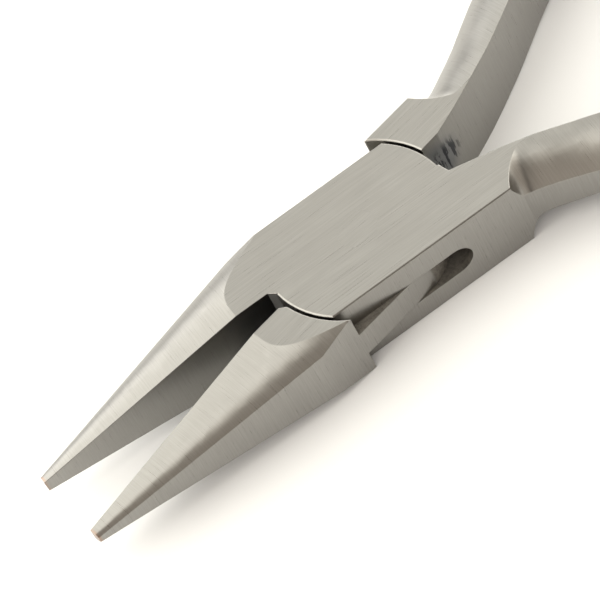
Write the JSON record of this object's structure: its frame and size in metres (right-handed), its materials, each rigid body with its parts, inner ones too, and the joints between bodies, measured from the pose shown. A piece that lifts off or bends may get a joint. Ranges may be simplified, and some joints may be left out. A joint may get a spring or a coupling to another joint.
{
  "type": "chain nose pliers",
  "caption": "Box-joint jewellery pliers: slim half-round jaws with flat gripping faces, bowed handles held open by leaf springs, and dipped grips.",
  "frame": {"origin": "on the joint pin's axis, at the underside of the box joint, which is the plane the pliers lie on", "axes": "+X from the joint to the tips of the jaws, midway between the two levers; +Y to the side of the inner lever's jaw and the outer lever's handle; +Z along the joint pin, up from the bench"},
  "size_m": [0.1294, 0.0486, 0.0083],
  "materials": {
    "lever_steel": "satin, finely brushed",
    "pin_steel": "satin",
    "spring_steel": "bright rolled strip",
    "grip_vinyl": "dipped, satin"
  },
  "bodies": {
    "outer_half": {"outer_lever": "lever_steel", "joint_pin": "pin_steel", "outer_leaf_spring": "spring_steel", "outer_spring_screw": "pin_steel", "outer_grip": "grip_vinyl"},
    "inner_half": {"inner_lever": "lever_steel", "inner_leaf_spring": "spring_steel", "inner_spring_screw": "pin_steel", "inner_grip": "grip_vinyl"}
  },
  "joints": [
    {"name": "pivot", "type": "hinge", "parent": "outer_half", "child": "inner_half", "pos_m": [0, 0, 0.00415], "axis": [0, 0, 1], "range_deg": [-11.6, 8], "stiffness_Nm_per_rad": 3.2, "deforming": ["outer_leaf_spring", "inner_leaf_spring"]}
  ]
}
